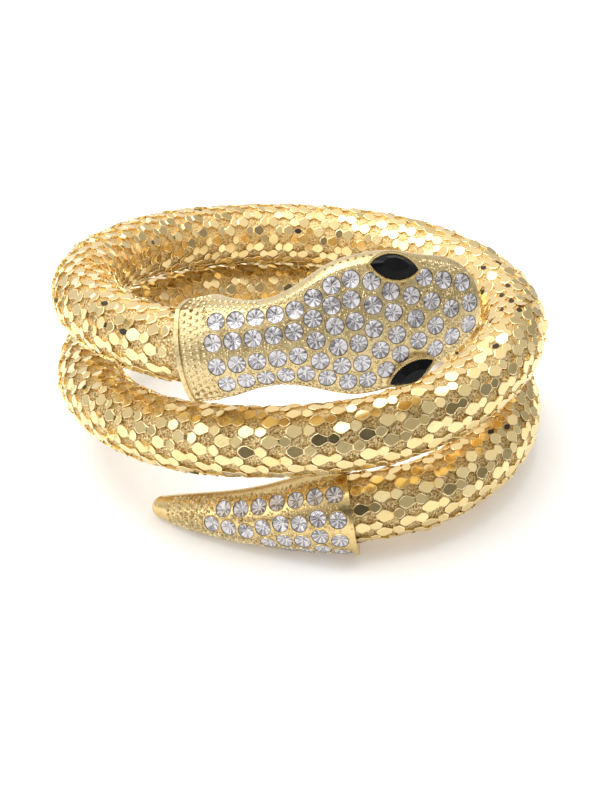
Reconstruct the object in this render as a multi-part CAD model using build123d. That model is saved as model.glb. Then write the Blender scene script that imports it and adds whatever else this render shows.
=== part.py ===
# A coiled snake bracelet. A hollow tube of scale mesh winds nearly twice round the wrist.
# Its upper end is a cast head and its lower end a cast tail, both set with round stones.
# Millimetres, +Z up. The origin is on the coil's axis, in the plane that the bracelet lies on.
from build123d import *
import math
import os

os.makedirs("parts", exist_ok=True)

# Scale mesh tube, and the share of a run that the arc at each of its ends takes
mesh_diameter = 11.0
mesh_wall = 1.1
mesh_radius = mesh_diameter / 2
arc_share = 0.45

# The coil: its centre line's radius, its climb, and how far the stack leans back
coil_radius = 36.0
coil_rise = 29.2
coil_lean = 2.1
head_bearing = 240.0

# Sockets that the ends of the mesh tube sit in. The tube runs straight a little before them
socket_depth = 3.2
socket_lead = 2.2
socket_clear = 0.1
collar_wall = 0.9
rim_length = 0.7
rim_height = 0.3

# Cast head
head_length = 46.8
head_half_width = 10.4
head_depth = 7.0
head_heading = -16.8
head_bend_radius = 52.7
head_climb = 15.4
head_roll = 18.0
head_offset = 0.7
collar_half_width = 7.45
face_limit = 0.9

# Cast tail
tail_length = 33.8
tail_collar_radius = 7.35
tail_tip_radius = 1.9
tail_heading = 181.0
tail_bend_radius = 60.0
tail_bearing = -73.0
tail_coil_radius = 35.3
tail_offset = 0.4

# Round stones, their pockets and the two eyes. The seats' lean is at the head's widest
# place, and a seat's start and reach are shares of the head's depth
stone_diameter = 2.7
stone_clear = 0.1
stone_table = 0.56
crown_height = 0.42
girdle_height = 0.12
pavilion_height = 0.8
stone_facets = 8
stone_culet = 0.12
seat_tip = 0.2
seat_lean = 32.0
seat_start = 0.45
seat_reach = 0.35
eye_length = 7.2
eye_width = 3.9
eye_tilt = 28.0
eye_toe_in = 21.0
eye_crown = 1.0
eye_girdle = 0.3
eye_pavilion = 0.95
eye_facets = 12
bezel_wall = 0.45
bezel_height = 0.45
bezel_depth = 2.6

# The mesh tube's chosen route, from the head's collar to the tail's: degrees unwound, height
# as a share of the coil's rise, and share of the lift that the thicker tail collar gives it
mesh_route = (
    (0.0, 1.000, 0.0),
    (13.0, 0.962, 0.0),
    (36.0, 0.884, 0.0),
    (64.0, 0.760, 0.0),
    (94.0, 0.637, 0.0),
    (124.0, 0.528, 0.0),
    (154.0, 0.474, 0.0),
    (184.0, 0.480, 0.0),
    (214.0, 0.511, 0.0),
    (244.0, 0.565, 0.0),
    (274.0, 0.597, 0.0),
    (304.0, 0.555, 0.0),
    (334.0, 0.522, 0.0),
    (364.0, 0.436, 0.0),
    (394.0, 0.342, 0.0),
    (424.0, 0.256, 0.0),
    (454.0, 0.186, 0.0),
    (484.0, 0.116, 0.0),
    (510.0, 0.066, 0.0),
    (536.0, 0.040, 0.0),
    (564.0, 0.014, 0.02),
    (594.0, 0.000, 0.28),
    (624.0, 0.000, 0.62),
    (646.0, 0.000, 0.88),
    (661.0, 0.000, 1.00),
)
# The tube is two pieces that meet, with this gap, at the middle row of its route
split_clear = 0.06

# Sections of the head. The first two columns are the place along it and the part that the
# collar's size plays there, the others are shares of the head's half width or its depth:
# the flat of the face, the widest place, the back, the crown's drop and the depth
head_sections = (
    ("along", "collar", "face", "width", "back", "drop", "depth"),
    (0.000, 1.0, 0.650, 1.000, 0.540, 0.340, 1.000),
    (0.118, 0.9, 0.640, 0.760, 0.540, 0.330, 1.500),
    (0.213, 0.2, 0.590, 0.620, 0.470, 0.300, 1.220),
    (0.320, 0.0, 0.590, 0.630, 0.500, 0.270, 1.080),
    (0.428, 0.0, 0.700, 0.780, 0.610, 0.230, 1.020),
    (0.534, 0.0, 0.875, 0.960, 0.800, 0.260, 1.000),
    (0.641, 0.0, 0.910, 1.000, 0.860, 0.285, 1.000),
    (0.748, 0.0, 0.855, 0.950, 0.810, 0.280, 0.970),
    (0.854, 0.0, 0.705, 0.790, 0.670, 0.220, 0.880),
    (0.945, 0.0, 0.530, 0.650, 0.500, 0.155, 0.740),
    (0.983, 0.0, 0.400, 0.500, 0.370, 0.120, 0.580),
    (1.000, 0.0, 0.280, 0.360, 0.250, 0.090, 0.430),
)

# Files of stones on one half of the head, as shares of its length and half width: the file,
# its first stone and its pitch along the head, and each stone's distance from the middle
head_files = (
    ("file", "first", "pitch", "across"),
    ("edge", 0.1405, 0.0633, (0.462, 0.450, 0.450, 0.448, 0.466, 0.590, 0.722, 0.760, 0.660)),
    ("snout", 0.8215, 0.0633, (0.530, 0.413, 0.303)),
    ("inner", 0.1241, 0.0640, (0.166, 0.162, 0.160, 0.163, 0.168, 0.300, 0.432, 0.461,
                               0.318, 0.452, 0.323, 0.174)),
    ("brow", 0.5067, 0.0636, (0.147, 0.154)),
    ("between", 0.6954, 0.0636, (0.159,)),
    ("spine", 0.4421, 0.1826, (0.0, 0.0)),
    ("spine_front", 0.7641, 0.1262, (0.0, 0.0)),
    ("tip", 0.9600, 0.0636, (0.0,)),
)
eye_along = 0.729
eye_across = 0.751

# Radius of the tail, as shares of its length and of its collar's radius
tail_sections = (
    ("along", "radius"),
    (0.00, 1.00),
    (0.05, 0.99),
    (0.24, 0.85),
    (0.52, 0.60),
    (0.80, 0.39),
)

# Files of stones along the tail: the file, its first stone and its pitch as shares of the
# tail's length, and each stone's place round the front in degrees above the horizontal
tail_files = (
    ("file", "first", "pitch", "angles"),
    ("top", 0.062, 0.0858, (55.0, 55.0, 54.0, 54.0, 50.0, 47.0, 47.0)),
    ("upper", 0.060, 0.0822, (22.0, 26.0, 19.0, 19.0, 11.0, 0.0, 4.0, 8.0)),
    ("lower", 0.066, 0.0782, (-9.0, -1.0, -12.0, -13.0, -25.0)),
    ("under", 0.068, 0.0782, (-38.0, -29.0, -41.0, -44.0)),
    ("lowest", 0.148, 0.0782, (-55.0,)),
)


def rows(table):
    # The rows of a table as dictionaries, keyed by its first line
    names = table[0]
    return [dict(zip(names, row)) for row in table[1:]]


def spread(x, xs, ys):
    # Value at x on the straight lines through the points (xs, ys)
    for i in range(len(xs) - 1):
        if x <= xs[i + 1] or i == len(xs) - 2:
            part = (x - xs[i]) / (xs[i + 1] - xs[i])
            return ys[i] + part * (ys[i + 1] - ys[i])


def direction(heading, climb=0.0):
    # Unit vector at a heading and a climb, both in degrees
    h = math.radians(heading)
    c = math.radians(climb)
    return Vector(math.cos(h) * math.cos(c), math.sin(h) * math.cos(c), math.sin(c))


def on_coil(bearing, radius, height):
    # A point round the leaning coil
    b = math.radians(bearing)
    lean = height * math.tan(math.radians(coil_lean))
    return Vector(radius * math.cos(b), radius * math.sin(b) + lean, height)


# Route of the mesh tube

tail_lift = tail_collar_radius - mesh_radius
tail_turned = head_bearing - tail_bearing
tail_pitch = math.degrees(math.asin((tail_collar_radius - tail_tip_radius) / tail_length))
lower_end = on_coil(tail_bearing - 360.0, tail_coil_radius, tail_collar_radius)
upper_end = on_coil(head_bearing, coil_radius, mesh_radius + coil_rise)


def route_corners():
    # Corner points of the tube's path. They lie outside the coil, so that the runs and arcs
    # between them keep its radius on average
    corners = []
    turned = [row[0] for row in mesh_route] + [tail_turned + 360.0]
    for i, (angle, rise, lift) in enumerate(mesh_route):
        height = mesh_radius + rise * coil_rise + lift * tail_lift
        if i == 0:
            corners.append(upper_end)
            continue
        half_turn = math.radians((turned[i + 1] - turned[i - 1]) / 4)
        outset = coil_radius / math.cos(half_turn)
        corners.append(on_coil(head_bearing - angle, outset, height))
    corners.append(lower_end)
    return corners


def corner_radii(points):
    # Arc radius at each inner corner: a share of the shorter run over the tangent of half
    # the turn
    radii = []
    for a, b, c in zip(points, points[1:], points[2:]):
        turn = math.radians((b - a).get_angle(c - b))
        radii.append(arc_share * min((b - a).length, (c - b).length) / math.tan(turn / 2))
    return radii


def tube(points, radii):
    # Hollow round tube along runs joined by tangent arcs
    path = FilletPolyline(*points, radius=radii)
    section = Plane(origin=points[0], z_dir=points[1] - points[0])
    outer = sweep(section * Circle(mesh_radius), path=path)
    inner = sweep(section * Circle(mesh_radius - mesh_wall), path=path)
    return outer - inner, path.length


# Frame of the head

def head_path(along):
    # Point on the crown line and the section's plane there: x across, y out of the face
    heading = head_heading + math.degrees(along / head_bend_radius)
    climb = head_climb * (1 - along / head_length)
    forward = direction(heading, climb)
    outward = direction(heading - 90.0)
    across = outward.cross(forward)
    roll = math.radians(head_roll)
    face = outward * math.cos(roll) + across * math.sin(roll)
    side = across * math.cos(roll) - outward * math.sin(roll)
    first = math.radians(head_heading)
    last = math.radians(heading)
    x = head_bend_radius * (math.sin(last) - math.sin(first))
    y = -head_bend_radius * (math.cos(last) - math.cos(first))
    z = math.radians(head_climb) * along * (1 - along / (2 * head_length))
    return Vector(x, y, z), forward, face, side


crown_over_tube = mesh_radius + socket_clear + collar_wall
collar_depth = 2 * crown_over_tube
head_table = rows(head_sections)


def head_plane(start, along):
    point, forward, face, side = head_path(along)
    first_point, first_forward, first_face, first_side = head_path(0.0)
    origin = start + first_face * crown_over_tube - first_side * head_offset + point
    return Plane(origin=origin, x_dir=side, z_dir=forward)


def head_sizes(row):
    # A section's lengths: the collar's sizes fade into the head's
    collar = row["collar"]
    width = collar * collar_half_width + (1 - collar) * row["width"] * head_half_width
    depth = collar * collar_depth + (1 - collar) * row["depth"] * head_depth
    face = min(row["face"] * head_half_width, face_limit * width)
    return face, width, row["back"] * head_half_width, row["drop"] * head_depth, depth


def head_section(start, along, sizes, grow=0.0):
    # Closed section: arched face, bowed sides and a flat back
    face, width, back, drop, depth = sizes
    middle = drop + 0.5 * (depth - drop)
    left = (-face - grow, -drop)
    right = (face + grow, -drop)
    left_back = (-back - grow, -depth - grow)
    right_back = (back + grow, -depth - grow)
    line = ThreePointArc(left, (0, grow), right)
    line += ThreePointArc(right, (width + grow, -middle), right_back)
    line += Line(right_back, left_back)
    line += ThreePointArc(left_back, (-width - grow, -middle), left)
    return head_plane(start, along) * make_face(line)


# Stones

def ring(count, length, width, height):
    # Corner points of a stone at one height. Pointed at its ends where it is longer than wide
    points = []
    for i in range(count):
        angle = 2 * math.pi * i / count
        if length == width:
            points.append(Vector(length / 2 * math.cos(angle), length / 2 * math.sin(angle), height))
            continue
        along = math.cos(angle) * length / 2
        bow = (length * length / width + width) / 4
        across = math.sqrt(max(bow * bow - along * along, 0.0)) - (bow - width / 2)
        if i in (0, count // 2):
            across = 0.0
        points.append(Vector(along, math.copysign(across, math.sin(angle)), height))
    return points


def cut_stone(length, width, crown, girdle, pavilion, count):
    # Faceted stone with its girdle on the XY plane: a table, a ring of crown facets, a
    # girdle and a ring of pavilion facets that meet in a small culet
    levels = [
        ring(count, length * stone_table, width * stone_table, crown + girdle / 2),
        ring(count, length, width, girdle / 2),
        ring(count, length, width, -girdle / 2),
        ring(count, length * stone_culet, width * stone_culet, -girdle / 2 - pavilion),
    ]
    faces = [Face(Wire.make_polygon(levels[0])), Face(Wire.make_polygon(levels[-1]))]
    for upper, lower in zip(levels, levels[1:]):
        for i in range(count):
            j = (i + 1) % count
            quad = [upper[i], upper[j], lower[j], lower[i]]
            faces.append(Face(Wire.make_polygon(quad)))
    return Solid(Shell(faces))


def surface_seat(shell, inside, outward):
    # Where a line from inside the metal leaves it, and the surface's normal there
    hits = shell.find_intersection_points(Axis(inside, outward))
    point, normal = max(hits, key=lambda hit: (hit[0] - inside).dot(outward))
    if normal.dot(outward) < 0:
        normal = normal * -1
    return point, normal


def clear_of(point, others):
    # A stone is set only where it stays clear of those already set
    pitch = stone_diameter + stone_clear
    return all((point - other.origin).length >= pitch for other in others)


def head_seats(shell, start):
    # Planes of the head's stones: origin in the surface, z along its normal
    seats = []
    for row in rows(head_files):
        for i, across in enumerate(row["across"]):
            along = (row["first"] + i * row["pitch"]) * head_length
            plane = head_plane(start, along)
            for side in ((1, -1) if across else (1,)):
                offset = side * across * head_half_width
                lean = math.radians(offset / head_half_width * seat_lean)
                outward = plane.y_dir * math.cos(lean) + plane.x_dir * math.sin(lean)
                shift = offset - math.tan(lean) * seat_reach * head_depth
                inside = plane.origin + plane.x_dir * shift - plane.y_dir * seat_start * head_depth
                point, normal = surface_seat(shell, inside, outward)
                if clear_of(point, seats):
                    seats.append(Plane(origin=point, x_dir=plane.z_dir, z_dir=normal))
    return seats


def tail_axis(along):
    # Point on the table under the tail, its heading and the radius of its section
    heading = tail_heading - math.degrees(along / tail_bend_radius)
    first = math.radians(tail_heading)
    last = math.radians(heading)
    x = -tail_bend_radius * (math.sin(last) - math.sin(first))
    y = tail_bend_radius * (math.cos(last) - math.cos(first))
    table = rows(tail_sections)
    stations = [row["along"] * tail_length for row in table] + [tail_length - tail_tip_radius]
    radii = [row["radius"] * tail_collar_radius for row in table] + [tail_tip_radius]
    radius = spread(along, stations, radii)
    return Vector(x, y, 0), heading, radius


def tail_plane(start, along):
    # Plane of the tail's section. The axis is pitched down so that the tail lies on the table
    offset, heading, radius = tail_axis(along)
    pitch = math.radians(tail_pitch)
    height = radius * math.cos(pitch) + rim_length * math.sin(pitch)
    shift = direction(tail_bearing) * tail_offset
    centre = Vector(start.X, start.Y, height) + offset + shift
    forward = direction(heading, -tail_pitch)
    up = Vector(0, 0, 1) - forward * forward.Z
    return Plane(origin=centre, x_dir=up, z_dir=forward), radius


def tail_seats(shell, start):
    seats = []
    for row in rows(tail_files):
        for i, angle in enumerate(row["angles"]):
            along = (row["first"] + i * row["pitch"]) * tail_length
            plane, radius = tail_plane(start, along)
            a = math.radians(angle)
            outward = plane.x_dir * math.sin(a) - plane.y_dir * math.cos(a)
            point, normal = surface_seat(shell, plane.origin, outward)
            if clear_of(point, seats):
                seats.append(Plane(origin=point, x_dir=plane.z_dir, z_dir=normal))
    return seats


def seat_cutters(seats):
    # Conical pockets that the stones' pavilions drop into
    girdle = stone_diameter / 2 + stone_clear / 2
    below = pavilion_height + stone_clear
    slope = (girdle - seat_tip) / below
    deep = below + girdle_height / 2
    high = deep + crown_height
    low_corner = (Align.CENTER, Align.CENTER, Align.MIN)
    cone = Cone(seat_tip, seat_tip + slope * high, high, align=low_corner)
    return [plane * Pos(0, 0, -deep) * cone for plane in seats]


def set_stones(seats):
    stone = cut_stone(stone_diameter, stone_diameter, crown_height, girdle_height,
                      pavilion_height, stone_facets)
    return [stone.moved(plane.location) for plane in seats]


def navette(length, width):
    # Pointed oval between two arcs
    line = ThreePointArc((-length / 2, 0), (0, width / 2), (length / 2, 0))
    line += ThreePointArc((length / 2, 0), (0, -width / 2), (-length / 2, 0))
    return make_face(line)


def eye_planes(start):
    # Planes of the two eyes, upper first, tilted out over the shoulder of the head
    along = eye_along * head_length
    base = head_plane(start, along)
    planes = []
    stations = [row["along"] * head_length for row in head_table]
    drops = [row["drop"] * head_depth for row in head_table]
    faces = [row["face"] * head_half_width for row in head_table]
    edge = spread(along, stations, faces)
    drop = spread(along, stations, drops) * (eye_across * head_half_width / edge) ** 2
    for side in (1, -1):
        tilt = math.radians(eye_tilt) * side
        toe = math.radians(eye_toe_in) * side
        out = base.y_dir * math.cos(tilt) + base.x_dir * math.sin(tilt)
        flat = base.x_dir * math.cos(tilt) - base.y_dir * math.sin(tilt)
        long_way = base.z_dir * math.cos(toe) - flat * math.sin(toe)
        middle = base.origin + base.x_dir * side * eye_across * head_half_width - base.y_dir * drop
        planes.append(Plane(origin=middle + out * bezel_height, x_dir=long_way, z_dir=out))
    return planes


# Castings

def entry(corner, run, forward):
    # The tube's straight end is turned half way from its last run to the casting. It starts
    # a little before the collar's rim
    way = (run.normalized() + forward.normalized()).normalized()
    rim = corner + way * socket_lead
    return way, rim, rim + way * socket_depth


def socket(rim, way):
    # Bore for the tube's end, open past the collar's rim
    length = socket_depth + socket_clear + socket_lead
    back = rim - way * socket_lead
    bore = Cylinder(mesh_radius + socket_clear, length, align=(Align.CENTER, Align.CENTER, Align.MIN))
    return Plane(origin=back, z_dir=way) * bore


def make_head(rim, way):
    sections = [head_section(rim, row["along"] * head_length, head_sizes(row)) for row in head_table]
    body = loft(sections)
    seats = head_seats(body, rim)
    eyes = eye_planes(rim)
    first = head_sizes(head_table[0])
    lip = loft([head_section(rim, place, first, rim_height) for place in (0.0, rim_length)])
    shell = body + lip
    for plane in eyes:
        outline = navette(eye_length + 2 * bezel_wall, eye_width + 2 * bezel_wall)
        shell = shell + plane * Pos(0, 0, -bezel_depth) * extrude(outline, bezel_depth)
    shell = shell - socket(rim, way)
    shell = shell - seat_cutters(seats)
    for plane in eyes:
        depth = eye_girdle / 2 + eye_pavilion + socket_clear
        pocket = extrude(navette(eye_length + 2 * stone_clear, eye_width + 2 * stone_clear), depth)
        shell = shell - plane * Pos(0, 0, -depth) * pocket
    return shell, seats, eyes


def make_tail(rim, way):
    stations = [row["along"] * tail_length for row in rows(tail_sections)]
    tip = tail_length - tail_tip_radius
    sections = []
    for along in stations + [tip]:
        plane, radius = tail_plane(rim, along)
        sections.append(plane * Circle(radius - rim_height * (1 - along / tip)))
    body = loft(sections)
    plane, radius = tail_plane(rim, tip)
    body = body + plane * Sphere(radius)
    seats = tail_seats(body, rim)
    plane, radius = tail_plane(rim, 0.0)
    lip = plane * extrude(Circle(radius), rim_length)
    shell = body + lip - socket(rim, way) - seat_cutters(seats)
    return shell, seats


# Build and write each piece

def write(name, shape):
    print(name, "volume", round(shape.volume, 1))
    export_step(shape, "parts/" + name + ".step")


corners = route_corners()
head_forward = head_path(0.0)[1]
tail_forward = direction(tail_heading, -tail_pitch)
head_way, head_rim, head_end = entry(corners[0], corners[0] - corners[1], head_forward)
tail_way, tail_rim, tail_end = entry(corners[-1], corners[-1] - corners[-2], tail_forward)
route = [head_end] + corners + [tail_end]
radii = corner_radii(route)
print("arc radii", [round(r, 1) for r in radii])

half = len(route) // 2
split = (route[half - 1] + route[half]) / 2
gap = (route[half] - route[half - 1]).normalized() * split_clear / 2
upper, upper_length = tube(route[:half] + [split - gap], radii[:half - 1])
lower, lower_length = tube([split + gap] + route[half:], radii[half - 1:])
ring_area = math.pi * (mesh_radius ** 2 - (mesh_radius - mesh_wall) ** 2)
print("upper tube volume over section times length", upper.volume / (ring_area * upper_length))
print("lower tube volume over section times length", lower.volume / (ring_area * lower_length))

head_shell, stones_on_head, eyes = make_head(head_rim, head_way)
tail_shell, stones_on_tail = make_tail(tail_rim, tail_way)
eye_stone = cut_stone(eye_length, eye_width, eye_crown, eye_girdle, eye_pavilion, eye_facets)
print("stones on the head", len(stones_on_head), "on the tail", len(stones_on_tail))

write("scale_mesh_upper", upper)
write("scale_mesh_lower", lower)
write("head_shell", head_shell)
write("head_stones", Compound(children=set_stones(stones_on_head)))
write("upper_eye", eye_stone.moved(eyes[0].location))
write("lower_eye", eye_stone.moved(eyes[1].location))
write("tail_shell", tail_shell)
write("tail_stones", Compound(children=set_stones(stones_on_tail)))
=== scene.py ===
import bpy
import math
import numpy as np
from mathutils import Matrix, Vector


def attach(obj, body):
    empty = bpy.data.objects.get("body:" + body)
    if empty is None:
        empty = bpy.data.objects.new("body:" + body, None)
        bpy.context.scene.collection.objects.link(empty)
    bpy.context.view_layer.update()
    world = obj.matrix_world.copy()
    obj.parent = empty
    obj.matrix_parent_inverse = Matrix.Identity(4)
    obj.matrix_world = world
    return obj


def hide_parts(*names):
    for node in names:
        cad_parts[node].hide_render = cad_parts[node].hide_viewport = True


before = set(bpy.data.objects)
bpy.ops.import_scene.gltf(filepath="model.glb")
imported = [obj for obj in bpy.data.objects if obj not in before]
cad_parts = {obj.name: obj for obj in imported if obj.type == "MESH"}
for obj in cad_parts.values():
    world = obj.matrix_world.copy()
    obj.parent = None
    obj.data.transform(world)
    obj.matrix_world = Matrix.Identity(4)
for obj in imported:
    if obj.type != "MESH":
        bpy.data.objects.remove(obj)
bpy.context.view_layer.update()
rng = np.random.default_rng(7)
mm = 0.001


# shader maths as plain expressions

class Sock:
    # wraps a node socket; + - * / and the rest add Math nodes, node() adds any other
    def __init__(self, tree, out):
        self.tree = tree
        self.out = out

    def math(self, op, a, b=None, clamp=False):
        n = self.tree.nodes.new("ShaderNodeMath")
        n.operation = op
        n.use_clamp = clamp
        for i, value in enumerate((a, b)):
            if value is None:
                continue
            if isinstance(value, Sock):
                self.tree.links.new(value.out, n.inputs[i])
            else:
                n.inputs[i].default_value = value
        return Sock(self.tree, n.outputs[0])

    def __add__(self, other): return self.math("ADD", self, other)
    def __radd__(self, other): return self.math("ADD", other, self)
    def __sub__(self, other): return self.math("SUBTRACT", self, other)
    def __rsub__(self, other): return self.math("SUBTRACT", other, self)
    def __mul__(self, other): return self.math("MULTIPLY", self, other)
    def __rmul__(self, other): return self.math("MULTIPLY", other, self)
    def __pow__(self, other): return self.math("POWER", self, other)
    def clip(self): return self.math("ADD", self, 0.0, clamp=True)

    def ramp(self, low, high):
        # 0 below low, 1 above high, smooth between
        return self.node("ShaderNodeMapRange", {"interpolation_type": "SMOOTHSTEP"},
                         {"Value": self, "From Min": low, "From Max": high})

    def blend(self, a, b):
        # colour a where this value is 0, b where it is 1
        return self.node("ShaderNodeMix", {"data_type": "RGBA"}, {0: self, 6: a, 7: b}, 2)

    def node(self, kind, settings, values, pick=0):
        n = self.tree.nodes.new(kind)
        for key, value in settings.items():
            setattr(n, key, value)
        for key, value in values.items():
            if isinstance(value, Sock):
                self.tree.links.new(value.out, n.inputs[key])
            else:
                n.inputs[key].default_value = value
        return Sock(self.tree, n.outputs[pick])


def newMaterial(name, recipe, **fixed):
    # a Principled surface: recipe gives the varying sockets, fixed the constant ones
    mat = bpy.data.materials.new(name)
    mat.use_nodes = True
    tree = mat.node_tree
    shader = tree.nodes["Principled BSDF"]
    for key, value in fixed.items():
        shader.inputs[key.replace("_", " ")].default_value = value
    start = Sock(tree, None)
    for key, value in recipe(start).items():
        tree.links.new(value.out, shader.inputs[key])
    return mat


def objectCoords(s):
    return s.node("ShaderNodeTexCoord", {}, {}, "Object")


def grain(s, coords, scale, detail=2.0, rough=0.5):
    return s.node("ShaderNodeTexNoise", {},
                  {"Vector": coords, "Scale": scale, "Detail": detail, "Roughness": rough})


def bump(s, height, strength, distance):
    return s.node("ShaderNodeBump", {}, {"Height": height, "Strength": strength, "Distance": distance * mm})


def attribute(s, name):
    return s.node("ShaderNodeAttribute", {"attribute_name": name}, {}, "Fac")


# making meshes from arrays

def makePiece(label, points, quads, material, tris=None, smooth=False, values=None, replaces=()):
    # points in mm, faces as index arrays, values as {attribute: one number per face}
    name = label.replace(" ", "_")
    data = bpy.data.meshes.new(name)
    counts = [4] * len(quads) + [3] * (0 if tris is None else len(tris))
    loops = np.concatenate([np.ravel(quads), np.ravel(tris) if tris is not None else []]).astype(np.int32)
    data.vertices.add(len(points))
    data.vertices.foreach_set("co", (np.asarray(points) * mm).astype(np.float32).ravel())
    data.loops.add(len(loops))
    data.loops.foreach_set("vertex_index", loops)
    starts = np.concatenate([[0], np.cumsum(counts)[:-1]]).astype(np.int32)
    data.polygons.add(len(counts))
    data.polygons.foreach_set("loop_start", starts)
    data.polygons.foreach_set("use_smooth", np.full(len(counts), smooth))
    data.update(calc_edges=True)
    for key, numbers in (values or {}).items():
        layer = data.attributes.new(key, "FLOAT", "FACE")
        layer.data.foreach_set("value", np.asarray(numbers, np.float32))
    data.materials.append(material)
    piece = bpy.data.objects.new(name, data)
    bpy.context.scene.collection.objects.link(piece)
    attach(piece, "root")
    if replaces:
        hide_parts(*replaces)
    print(label, len(counts), "faces")


def unit(v):
    return v / np.linalg.norm(v, axis=-1, keepdims=True)


def smoothCurve(xs, ys, x):
    # natural cubic spline through (xs, ys), ys may have several columns
    xs, ys, x = np.asarray(xs, float), np.asarray(ys, float), np.asarray(x, float)
    flat = ys.ndim == 1
    ys = ys[:, None] if flat else ys
    n = len(xs)
    h = np.diff(xs)
    a = np.eye(n)
    i = np.arange(1, n - 1)
    a[i, i - 1], a[i, i], a[i, i + 1] = h[:-1], 2 * (h[:-1] + h[1:]), h[1:]
    rhs = np.zeros_like(ys)
    slope = np.diff(ys, axis=0) / h[:, None]
    rhs[1:-1] = 6 * np.diff(slope, axis=0)
    m = np.linalg.solve(a, rhs)
    k = np.clip(np.searchsorted(xs, x) - 1, 0, n - 2)
    d = x - xs[k]
    left, right, hk = m[k], m[k + 1], h[k]
    out = (ys[k] + d[:, None] * (slope[k] - hk[:, None] * (2 * left + right) / 6)
           + d[:, None] ** 2 * left / 2 + d[:, None] ** 3 * (right - left) / (6 * hk[:, None]))
    return out[:, 0] if flat else out


def gridQuads(rows, columns, wrap=False, start=0):
    # quads of a grid of rows x columns points; wrap joins the last column to the first
    i = np.arange(rows - 1)[:, None]
    j = np.arange(columns if wrap else columns - 1)[None, :]
    k = (j + 1) % columns
    a, b = i * columns + j, i * columns + k
    return start + np.stack([a, b, b + columns, a + columns], -1).reshape(-1, 4)


noQuads = np.zeros((0, 4), int)


def repeated(faces, count, per):
    # the same faces for every copy of a shape of per points
    return (faces[None] + (np.arange(count) * per)[:, None, None]).reshape(-1, faces.shape[1])


# the coil's centre line

coil = {
    "radius": 36.0, "rise": 29.2, "lean": 2.1, "bearing": 240.0, "tubeRadius": 5.5,
    "tailLift": 1.85, "tailBearing": -73.0, "tailRadius": 35.3, "lead": 2.2, "socket": 3.2,
    "headHeading": -16.8, "headClimb": 15.4, "tailHeading": 181.0, "tailPitch": 9.3,
    "splitTurn": 349.0, "splitHeight": 0.485,   # where the upper mesh piece meets the lower one
    "samples": 4000,
    "turned": (0, 13, 36, 64, 94, 124, 154, 184, 214, 244, 274, 304, 334, 364, 394, 424, 454,
               484, 510, 536, 564, 594, 624, 646, 661),
    "height": (1.0, .962, .884, .760, .637, .528, .474, .480, .511, .565, .597, .555, .522, .436,
               .342, .256, .186, .116, .066, .040, .014, 0, 0, 0, 0),
    "lift": (0,) * 20 + (.02, .28, .62, .88, 1.0),
}


leanSlope = math.tan(math.radians(coil["lean"]))


def onCoil(bearing, radius, height):
    # point at a bearing and a height; the circles lean back as they rise
    b = np.radians(bearing)
    y = radius * np.sin(b) + height * leanSlope
    return np.stack([radius * np.cos(b), y, height * np.ones_like(b)], -1)


def heading(angle, climb):
    # unit vector at an angle seen from above, climbing
    h, c = math.radians(angle), math.radians(climb)
    return np.array([math.cos(h) * math.cos(c), math.sin(h) * math.cos(c), math.sin(c)])


def coilPath():
    # points of the route joined by a smooth curve, with straight leads into the two sockets
    turned = np.array(coil["turned"], float)
    height = np.array(coil["height"]) * coil["rise"] + np.array(coil["lift"]) * coil["tailLift"]
    knots = onCoil(coil["bearing"] - turned, coil["radius"], coil["tubeRadius"] + height)
    last = onCoil(np.array([coil["tailBearing"] - 360]), coil["tailRadius"],
                  coil["tubeRadius"] + coil["tailLift"])
    knots = np.vstack([knots, last])
    headWay = unit(unit(knots[0] - knots[1]) + heading(coil["headHeading"], coil["headClimb"]))
    tailWay = unit(unit(knots[-1] - knots[-2]) + heading(coil["tailHeading"], -coil["tailPitch"]))
    reach = coil["lead"] + coil["socket"]
    knots = np.vstack([knots[0] + headWay * reach, knots, knots[-1] + tailWay * reach])
    span = np.concatenate([[0], np.cumsum(np.linalg.norm(np.diff(knots, axis=0), axis=1))])
    fine = np.linspace(0, span[-1], coil["samples"])
    curve = smoothCurve(span, knots, fine)
    length = np.concatenate([[0], np.cumsum(np.linalg.norm(np.diff(curve, axis=0), axis=1))])
    return knots, length, curve


pathKnots, pathLength, pathPoints = coilPath()
pathTangent = unit(np.gradient(pathPoints, axis=0))
axisPoint = np.stack([0 * pathPoints[:, 0], pathPoints[:, 2] * leanSlope, pathPoints[:, 2]], -1)
pathOut = pathPoints - axisPoint
pathOut = unit(pathOut - pathTangent * np.sum(pathOut * pathTangent, -1, keepdims=True))
pathUp = np.cross(pathOut, pathTangent)   # the path runs clockwise from above, so this points up


def tubePoint(s, angle, radius):
    # point at distance s along the tube, angle round it (0 faces outwards, pi/2 up)
    def at(table):
        return np.stack([np.interp(s, pathLength, table[:, i]) for i in range(3)], -1)
    out, up = unit(at(pathOut)), unit(at(pathUp))
    around = out * np.cos(angle)[..., None] + up * np.sin(angle)[..., None]
    return at(pathPoints) + around * np.asarray(radius)[..., None], around


print("tube length", round(pathLength[-1], 1))


# gold

def goldPlateLook(s):
    coords = objectCoords(s)
    tone = attribute(s, "tone")
    wear = grain(s, coords, 700.0, 3.0)
    pits = grain(s, coords, 2600.0, 2.0)
    pale = tone.blend((0.78, 0.60, 0.275, 1), (0.85, 0.69, 0.36, 1))
    worn = wear.ramp(0.62, 0.78).blend(pale, (0.70, 0.50, 0.20, 1))
    # painted reflection: where the inside attribute is set, the gold is tinted amber as if mirroring other
    # scales
    deep = attribute(s, "inside").blend(worn, (0.98, 0.745, 0.36, 1))
    # painted highlight: the bevel ring of each plate is coloured paler, as if catching the light
    return {"Base Color": attribute(s, "rim").blend(deep, (0.94, 0.79, 0.46, 1)),
            "Roughness": 0.07 + wear * 0.12 + tone * 0.06 + attribute(s, "rim") * 0.15,
            "Normal": bump(s, pits, 0.12, 0.03)}


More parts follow.
